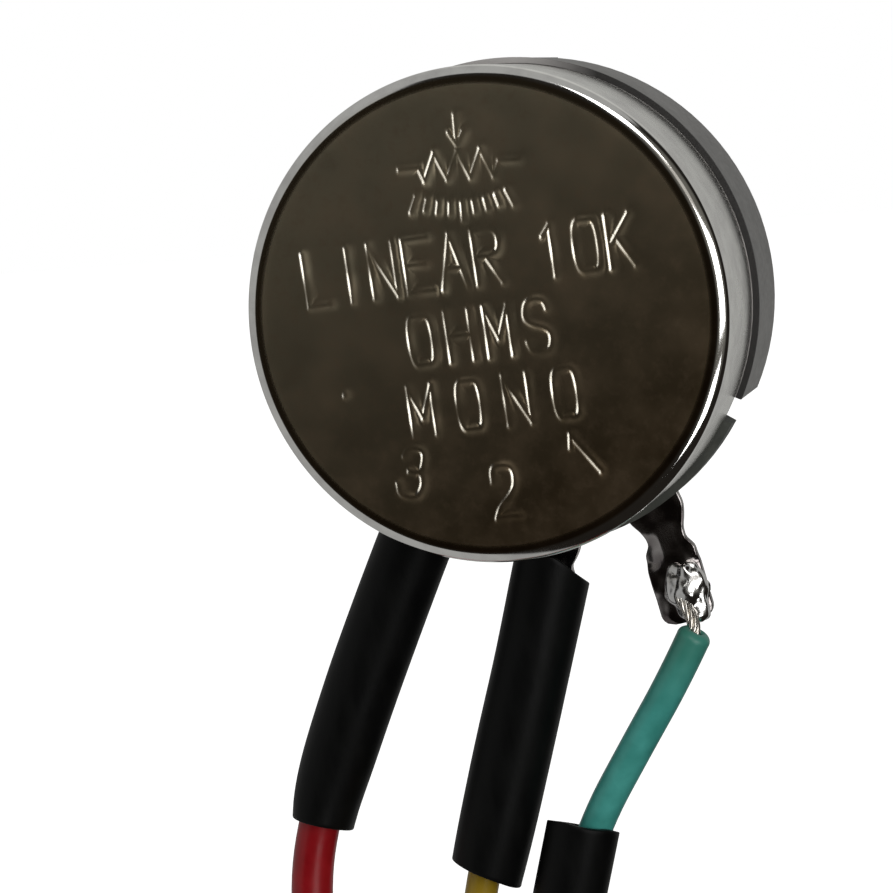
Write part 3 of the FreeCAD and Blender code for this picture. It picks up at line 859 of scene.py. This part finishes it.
def text_strokes():
    """The strokes of the stamped rows, as polylines in the face's plane."""
    strokes = []
    for text, corner, pitch, width, height, tilt_deg in STAMPS:
        tilt = radians(tilt_deg)
        along = Vector((cos(tilt), sin(tilt), 0))
        up = Vector((-sin(tilt), cos(tilt), 0))
        for k, letter in enumerate(text):
            start = Vector((*corner, 0)) + along * pitch * k
            for stroke in GLYPHS[letter]:
                line = [start + along * x * width + up * z * height for x, z in stroke]
                strokes.append(smoothed(line) if len(line) > 5 else line)
    return strokes


def symbol_strokes():
    """A circuit diagram's variable resistor, with a short scale of ticks under it."""
    def at(x, z):
        return Vector((x - 0.45, z + 7.15, 0))

    teeth, ticks = 7, 9
    zigzag = [at(-1.7 + k * 0.56, 0.62 if k % 2 else -0.62) for k in range(teeth)]
    zigzag = [at(-2.9, 0), at(-1.95, 0), *zigzag, at(1.95, 0), at(2.9, 0)]
    arrow = [at(0.0, 2.3), at(0.0, 0.95)]
    head = [at(-0.34, 1.5), at(0.0, 0.92), at(0.34, 1.5)]
    strokes = [zigzag, arrow, head]
    for k in range(ticks):
        angle = radians(-24 + 48 * k / (ticks - 1))
        spoke = Vector((sin(angle), -cos(angle), 0))
        centre = at(0, 3.6)
        long_tick = 0.75 if k % 4 == 0 else 0.45
        strokes.append([centre + spoke * 5.4, centre + spoke * (5.4 + long_tick)])
    return strokes


def lattice(spacing, radius):
    """Points of a triangular lattice inside a circle, as an array of rows (x, z)."""
    rows = np.arange(-radius, radius, spacing * sqrt(3) / 2)
    points = []
    for number, z in enumerate(rows):
        xs = np.arange(-radius, radius, spacing) + (number % 2) * spacing / 2
        points.append(np.stack([xs, np.full(len(xs), z)], axis=1))
    points = np.concatenate(points)
    return points[np.hypot(points[:, 0], points[:, 1]) < radius - spacing * 0.6]


def stroke_distance(points, starts, ends):
    """Each point's distance to the nearest stroke, and the share of it that is towards +X."""
    nearest = np.full(len(points), np.inf)
    right = np.zeros(len(points))
    for start, end in zip(starts, ends):
        run = end - start
        share = np.clip((points - start) @ run / max(run @ run, 1e-12), 0, 1)
        offset = points - start - share[:, None] * run
        away = np.hypot(*offset.T)
        nearer = away < nearest
        nearest[nearer] = away[nearer]
        right[nearer] = offset[nearer, 0] / np.maximum(away[nearer], 1e-6)
    return nearest, right


def stroke_ends():
    """Where each straight run of a stroke starts and ends, and the round dent last."""
    strokes = text_strokes() + symbol_strokes()
    runs = [(a, b) for line in strokes for a, b in zip(line, line[1:])]
    starts = [(a.x, a.y) for a, _ in runs] + [DENT_AT]
    ends = [(b.x, b.y) for _, b in runs] + [(DENT_AT[0] + 0.02, DENT_AT[1] + 0.02)]
    return np.array(starts), np.array(ends)


def face_depth(x, z, distance, right, radius):
    """How far in the face lies: uneven strokes with raised sides, soft waves and a drooped edge."""
    strike = min(1.15, max(0.3, 0.85 + 0.9 * noise.noise(Vector((x * 0.8, z * 0.8, 3.0)))))
    lean = 0.5 + 0.5 * right
    half_width = GROOVE_STEEP_W + (GROOVE_SHALLOW_W - GROOVE_STEEP_W) * lean
    groove = strike * exp(-((distance / half_width) ** 2))
    bulge = 0.04 * exp(-((distance / 0.4) ** 2))
    wave = 0.012 * noise.noise(Vector((x * 0.28, z * 0.28, 8.0)))
    from_axis = hypot(x, z)
    fade = min(1.0, (radius - from_axis) / 0.8)
    over = max(0.0, from_axis - DROOP_START_R)
    droop = tan(radians(DROOP_DEG)) * over**2 / (2 * (radius - DROOP_START_R))
    return GROOVE_DEPTH * (groove + bulge) * fade + wave * fade + droop


def face_points(radius, rim_count):
    """Points over the stamped face, dense along the strokes, each with its depth."""
    starts, ends = stroke_ends()
    kept = []
    for spacing, nearer, further in FACE_LATTICES:
        points = lattice(spacing, radius)
        away, _ = stroke_distance(points, starts, ends)
        kept.append(points[(away >= nearer) & (away < further)])
    angles = 2 * np.pi * np.arange(rim_count) / rim_count
    kept.append(radius * np.stack([np.cos(angles), np.sin(angles)], axis=1))
    points = np.concatenate(kept)
    near = zip(points, *stroke_distance(points, starts, ends))
    return points, [face_depth(x, z, away, right, radius) for (x, z), away, right in near]


def cover():
    """The drawn and stamped cup: one closed shell with a real wall."""
    rim_count = 360
    first_angle = radians(CORNER_START_DEG)
    face_r = COVER_R - CORNER_ACROSS * (1 - sin(first_angle))
    droop = tan(radians(DROOP_DEG)) * (face_r - DROOP_START_R) / 2
    flat, depth = face_points(face_r, rim_count)
    faces = delaunay_2d_cdt([Vector(p) for p in flat], [], [], 0, 1e-7)[2]
    points = [(p[0], COVER_REAR + d, p[1]) for p, d in zip(flat, depth)]
    profile = []
    for k in range(CORNER_STEPS + 1):
        angle = first_angle + (pi / 2 - first_angle) * k / CORNER_STEPS
        y = COVER_REAR + droop + CORNER_ALONG * (cos(first_angle) - cos(angle))
        profile.append((COVER_R - CORNER_ACROSS * (1 - sin(angle)), y))
    inner_r, inner_rear = COVER_R - COVER_WALL, COVER_REAR + COVER_WALL
    rim = COVER_RIM
    profile += [(COVER_R, y) for y in (-10.0, -9.0, -8.0, -7.0, -6.0, rim - 0.12)]
    profile += [
        (COVER_R - 0.05, rim - 0.03), (COVER_R - 0.14, rim), (inner_r + 0.05, rim),
        (inner_r, rim - 0.06), (inner_r, inner_rear + 0.3), (inner_r - 0.1, inner_rear + 0.08),
        (inner_r - 0.35, inner_rear), (0.02, inner_rear),
    ]
    faces += ring_faces(len(profile), rim_count, base=len(points))
    points += [(r * c, y, r * s) for r, y in profile for c, s in circle(rim_count)]
    mesh_piece("cover_shell", "cover_steel", points, faces, ["rear_cover"])


def housing_edge():
    """The crimped rear edge of the housing, round to both ends of its cutout."""
    outer, inner, rear = HOUSING_R + 0.02, HOUSING_R - 0.27, COVER_RIM - 0.04
    profile = [
        (inner, rear + 0.14), (inner, rear + 0.01), (inner + 0.01, rear),
        (outer - 0.005, rear), (outer, rear + 0.005), (outer, rear + 0.22),
        (outer - 0.03, rear + 0.26), (outer - 0.12, rear + 0.26),
    ]
    steps = 300
    points = []
    for i in range(steps + 1):
        angle = HOUSING_CUTOUT_DEG + 0.1 + (359.8 - 2 * HOUSING_CUTOUT_DEG) * i / steps
        points += [polar(r, angle, y) for r, y in profile]
    count = len(profile)
    faces = ring_faces(steps + 1, count) + end_faces(steps + 1, count)
    mesh_piece("housing_edge", "housing_metal", points, faces, (), 15.0, painted_gap_shade_metal())


# ---- threaded bushing

def bushing():
    """Flange, seat and pilot of the bushing, its helical thread and its bore."""
    count = 144
    rings = []

    def ring(radius, y):
        rings.append([(radius * c, y, radius * s) for c, s in circle(count)])

    for r, y in (
        (BUSHING_BORE_R, FLANGE_REAR), (FLANGE_R - 0.1, FLANGE_REAR), (FLANGE_R, FLANGE_REAR + 0.1),
        (FLANGE_R, FLANGE_FRONT), (SEAT_R, FLANGE_FRONT), (SEAT_R, -0.08), (SEAT_R - 0.08, 0.0),
        (PILOT_R, 0.0), (PILOT_R, THREAD_START - 0.3), (THREAD_ROOT_R, THREAD_START - 0.05),
    ):
        ring(r, y)
    rows = 110
    for row in range(rows + 1):
        y = THREAD_START + (THREAD_END - THREAD_START) * row / rows
        chamfer = THREAD_ROOT_R - 0.1 + 1.2 * (THREAD_END - y)
        points = []
        for k, (c, s) in enumerate(circle(count)):
            height = 1 - abs(2 * ((y / THREAD_PITCH - k / count) % 1.0) - 1)
            height = min(1.0, max(0.0, (height - 0.12) / 0.76))
            radius = min(THREAD_ROOT_R + (THREAD_CREST_R - THREAD_ROOT_R) * height, chamfer)
            points.append((radius * c, y, radius * s))
        rings.append(points)
    ring(BUSHING_BORE_R + 0.15, THREAD_END)
    ring(BUSHING_BORE_R, THREAD_END - 0.15)
    ring(BUSHING_BORE_R, FLANGE_REAR)
    points = [p for r in rings for p in r]
    faces = ring_faces(len(rings), count)
    mesh_piece("bushing", "bushing_nickel", points, faces, ["threaded_bushing"], 30.0)


# ---- terminals

def lug_line(number):
    """The middle of a lug from its rivet to its tip, smooth at the bend."""
    spec = TERMINALS[number]
    root = polar(RIVET_AT_R, spec["at_deg"])
    bend = polar(BEND_AT_R, spec["at_deg"])
    tip = bend + polar(spec["lug_len"], spec["lug_deg"])
    start = root - (bend - root).normalized() * 1.3
    corners = [start, bend - (bend - root) * 0.1, bend.lerp(tip, 0.3), tip]
    return resampled(smoothed(corners), LUG_ROWS)


def clamp(value):
    return min(1.0, max(0.0, value))


def lug_relief(number, point, walked, half, share):
    """How far forward a lug's face lies, from dents, a flattened patch and bent-back edges.

    The share goes from -1 at the right edge to 1 at the left edge.
    """
    dent = 0.04 * noise.noise(point * 0.9 + Vector((0, 3.0 * share, number)))
    patch = max(0.0, half * share - 0.3) * exp(-(((walked - PATCH_AT) / 0.75) ** 4))
    right = max(0.0, -share - 0.35) / 0.65 * clamp((walked - RIGHT_BENDS_FROM) / 0.8)
    left = max(0.0, share - 0.5) / 0.5 * clamp((walked - LEFT_BENDS_FROM) / 0.8)
    return dent + TERMINALS[number]["curl"] * (1.6 * patch + right**2 + 0.5 * left**2)


def lug(number):
    """A stamped lug: a narrow neck, an eyelet end and edges bent back a little."""
    line = lug_line(number)
    total = line_length(line)
    across, last = 25, LUG_ROWS - 1
    points = []
    walked = 0.0
    for index, point in enumerate(line):
        ahead = (line[min(index + 1, last)] - line[max(index - 1, 0)]).normalized()
        side = Vector((0, 1, 0)).cross(ahead)
        if index:
            walked += (point - line[index - 1]).length
        half = lug_half_width(walked, total - walked)
        for j in range(across):
            share = 2 * j / (across - 1) - 1
            y = BOARD_FRONT + lug_relief(number, point, walked, half, share)
            points.append(point + side * half * share + Vector((0, y, 0)))
    front = [p + Vector((0, TERMINAL_T * 0.9, 0)) for p in points]
    count = len(points)
    faces = ring_faces(LUG_ROWS, across, wrap=False)
    faces += [tuple(count + i for i in reversed(f)) for f in faces]
    edge = [*range(across)]
    edge += [row * across + across - 1 for row in range(1, LUG_ROWS)]
    edge += [last * across + k for k in range(across - 2, -1, -1)]
    edge += [row * across for row in range(last - 1, 0, -1)]
    faces += [(a, b, count + b, count + a) for a, b in zip(edge, edge[1:] + edge[:1])]
    nodes = [f"terminal_{number}"]
    piece = mesh_piece(f"lug_{number}", "terminal_tin", points + front, faces, nodes, 50.0)
    round_edges(piece, 0.09, 50)


def lug_half_width(walked, to_tip):
    """Half the lug's width: a wide root, a neck, and an eyelet end with rounded corners."""
    def step(x, a, b):
        t = clamp((x - a) / (b - a))
        return t * t * (3 - 2 * t)

    half = 1.45 - 0.45 * step(walked, 3.1, 4.5)
    half += 0.33 * step(EYELET_LEN - to_tip, -0.65, 0.05)
    corner = 0.6
    if to_tip < corner:
        half -= corner - sqrt(max(0.0, corner**2 - (corner - to_tip) ** 2))
    return half


def eyelet(number, down):
    """A point of the eyelet, that far down from its middle, and the way down the lug."""
    spec = TERMINALS[number]
    along = polar(1.0, spec["lug_deg"])
    tip = polar(BEND_AT_R, spec["at_deg"]) + along * spec["lug_len"]
    return tip - along * (EYELET_LEN / 2 - down), along


def solder(number, size, lean):
    """A lumpy fillet of solder over the eyelet, drawn out along the wire."""
    centre, along = eyelet(number, 0.25)
    side = Vector((0, 1, 0)).cross(along)
    centre += side * lean
    bm = bmesh.new()
    bmesh.ops.create_icosphere(bm, subdivisions=5, radius=1.0)
    points = []
    for vert in bm.verts:
        p = vert.co.copy()
        lumps = noise.noise(p * 1.5 + Vector((number, 0, 0)))
        facets = noise.noise(p * 3.0 + Vector((0, number, 0)))
        p *= 1.0 + 0.26 * lumps + 0.09 * facets
        place_mm = centre + along * p.x * size[0] + side * p.z * size[1]
        y = BOARD_FRONT + 0.06 + p.y * size[2]
        points.append(place_mm + Vector((0, min(y, BOARD_FRONT + 0.12), 0)))
    faces = [tuple(v.index for v in f.verts) for f in bm.faces]
    bm.free()
    nodes = [f"solder_joint_{number}"]
    mesh_piece(f"solder_{number}", "solder", points, faces, nodes, 80.0)


def strands(name, node, path, radius, turns):
    """A bundle of twisted wires along a path."""
    wire_r = radius / 2.7
    wires, steps, count = 7, 40, 10
    along = tube_frames(resampled(smoothed(path), steps + 1))
    points, faces = [], []
    for wire in range(wires):
        base = len(points)
        out = 0.0 if wire == wires - 1 else radius - wire_r
        for i, (middle, side, other) in enumerate(along):
            turned = 2 * pi * (turns * i / steps + wire / (wires - 1))
            centre = middle + (side * cos(turned) + other * sin(turned)) * out
            points += [centre + (side * c + other * s) * wire_r for c, s in circle(count)]
        faces += ring_faces(steps + 1, count, base=base) + end_faces(steps + 1, count, base)
    return mesh_piece(name, "tinned_strands", points, faces, [node], 60.0)


def conductor(lead):
    """The bare strands between the solder and the insulation."""
    number = lead["terminal"]
    start, _ = eyelet(number, 0.3)
    start.y = BOARD_FRONT - 0.36
    first, second = Vector(lead["route"][0]), Vector(lead["route"][1])
    ahead = (second - first).normalized()
    path = [start, first - ahead * 0.55, first + ahead * 0.8]
    strands(f"bare_wire_{number}", f"conductor_{number}", path, 0.33, 0.9)


def lead_tip(colour, lead):
    """The stripped end of a lead, twisted and tinned."""
    before, end = (Vector(p) for p in tail_points(lead))
    ahead = (end - before).normalized()
    path = [end - ahead * 0.5, end + ahead * TIP_LEN]
    return strands(f"stripped_end_{colour}", f"tip_{colour}", path, 0.4, 1.6)


# ---- sleeves

# Path and radius of each sleeve, its cuts at the top and the end, the width of its end as a share
# of the rest, and a seed for its dents. A cut is its slant down to the right and to the front.
SLEEVES = {
    "sleeve_terminal_3": {
        "path": [(-6.65, -3.6, -11.8), (-9.45, -3.6, -17.5), (-11.2, -3.6, -21.4),
                 (-12.66, -3.6, -24.9), (-13.12, -3.6, -26.65)],
        "radius": 1.93, "top": (0.0, -0.2), "end": (0.075, -0.24), "end_width": 0.83, "seed": 1.0,
    },
    "sleeve_terminal_2": {
        "path": [(0.55, -3.6, -12.95), (-0.62, -3.6, -16.86), (-2.29, -3.6, -22.29),
                 (-4.43, -3.6, -29.32)],
        "radius": 1.98, "top": (0.46, -0.21), "end": (0.195, -0.21), "end_width": 0.95, "seed": 2.0,
    },
    "sleeve_loose": {
        "path": [(1.02, -4.0, -26.7), (-0.42, -4.0, -31.8), (-1.9, -4.0, -37.1),
                 (-3.36, -4.0, -42.4)],
        "radius": 1.86, "top": (0.0, -0.33), "end": (0.1, 0.0), "end_width": 1.0, "seed": 3.0,
    },
}

# Wall of a sleeve and the rounding of its edges, the turn of the cuts round it, how far above its
# path a cut may reach, and the length over which its end narrows
SLEEVE_WALL = 0.28
SLEEVE_LIP = 0.06
CUT_TURN_DEG = 17.0
HIGHEST_CUT = -0.5
NARROWS_OVER = 6.0


def sleeve_cut(spec, slants, angle):
    """How far along the sleeve a slanting, ragged cut lies at an angle round it."""
    turned = angle + radians(CUT_TURN_DEG)
    ragged = noise.noise(Vector((cos(angle), sin(angle), spec["seed"])))
    right, front = slants
    slant = right * cos(turned) + front * sin(turned)
    return slant * spec["radius"] + 0.04 * ragged


def sleeve_section(rows):
    """Round the wall: the share of the length, the depth in the wall and the set-back."""
    lip, inside = SLEEVE_LIP, SLEEVE_WALL - SLEEVE_LIP
    outer = [(i / rows, 0.0, lip) for i in range(rows + 1)]
    end = [(1.0, lip * 0.4, 0.01), (1.0, lip, 0.0), (1.0, inside, 0.0)]
    inner = [(i / rows, SLEEVE_WALL, lip) for i in range(rows, -1, -1)]
    return outer + end + inner + [(0.0, inside, 0.0), (0.0, lip, 0.0), (0.0, lip * 0.4, 0.01)]


def sleeve(name, spec):
    """A soft tube with a real wall, cut by hand at both ends."""
    path = resampled(smoothed(spec["path"]), 200)
    total = line_length(path)
    step = total / 199

    def on_path(distance):
        index = min(198, max(0, int(distance / step)))
        ahead = (path[index + 1] - path[index]).normalized()
        point = path[index] + ahead * (distance - index * step)
        side = (Vector((1, 0, 0)) - ahead * ahead.x).normalized()
        return point, side, ahead.cross(side)

    def skin_point(distance, angle, inset):
        point, side, other = on_path(distance)
        near_end = clamp(1 - (total - distance) / NARROWS_OVER) ** 2.7
        width = 1.0 - (1.0 - spec["end_width"]) * near_end
        along = distance * 0.16 + spec["seed"] * 9
        soft = noise.noise(Vector((cos(angle) * 0.7, sin(angle) * 0.7, along)))
        radius = spec["radius"] + 0.05 * soft - inset
        across = side * radius * width * cos(angle)
        return point + across + other * radius * (1.5 - 0.5 * width) * sin(angle)

    section, count = sleeve_section(90), 72
    points = []
    for share, inset, back in section:
        for k in range(count):
            angle = 2 * pi * k / count
            low = max(HIGHEST_CUT, sleeve_cut(spec, spec["top"], angle)) + back
            high = total + sleeve_cut(spec, spec["end"], angle) - back
            points.append(skin_point(low + (high - low) * share, angle, inset))
    faces = ring_faces(len(section), count, closed=True)
    return mesh_piece(f"{name}_tube", "sleeve_black", points, faces, [name], 60.0)


# ---- build

add_camera()
add_world()
add_floor()
window("window_middle", 41, 1, (38, 22))
window("window_low", 35, -25, (26, 15))
window("window_high", 18, 33, (20, 17))
dress_cad()
cover()
housing_edge()
bushing()
for terminal_number in TERMINALS:
    lug(terminal_number)
solder(1, (1.6, 1.08, 0.78), -0.4)
solder(2, (1.25, 0.95, 0.7), 0.0)
solder(3, (1.25, 0.95, 0.7), 0.0)
tubes = {name: sleeve(name, spec) for name, spec in SLEEVES.items()}
for lead_colour, lead_spec in LEADS.items():
    wire = lead_curve(lead_colour, lead_spec)
    conductor(lead_spec)
    stripped = lead_tip(lead_colour, lead_spec)
    lip = insulation_lip(lead_colour, lead_spec)
    if lead_colour == "red":
        lead_tie()
    length = line_length(centreline(wire))
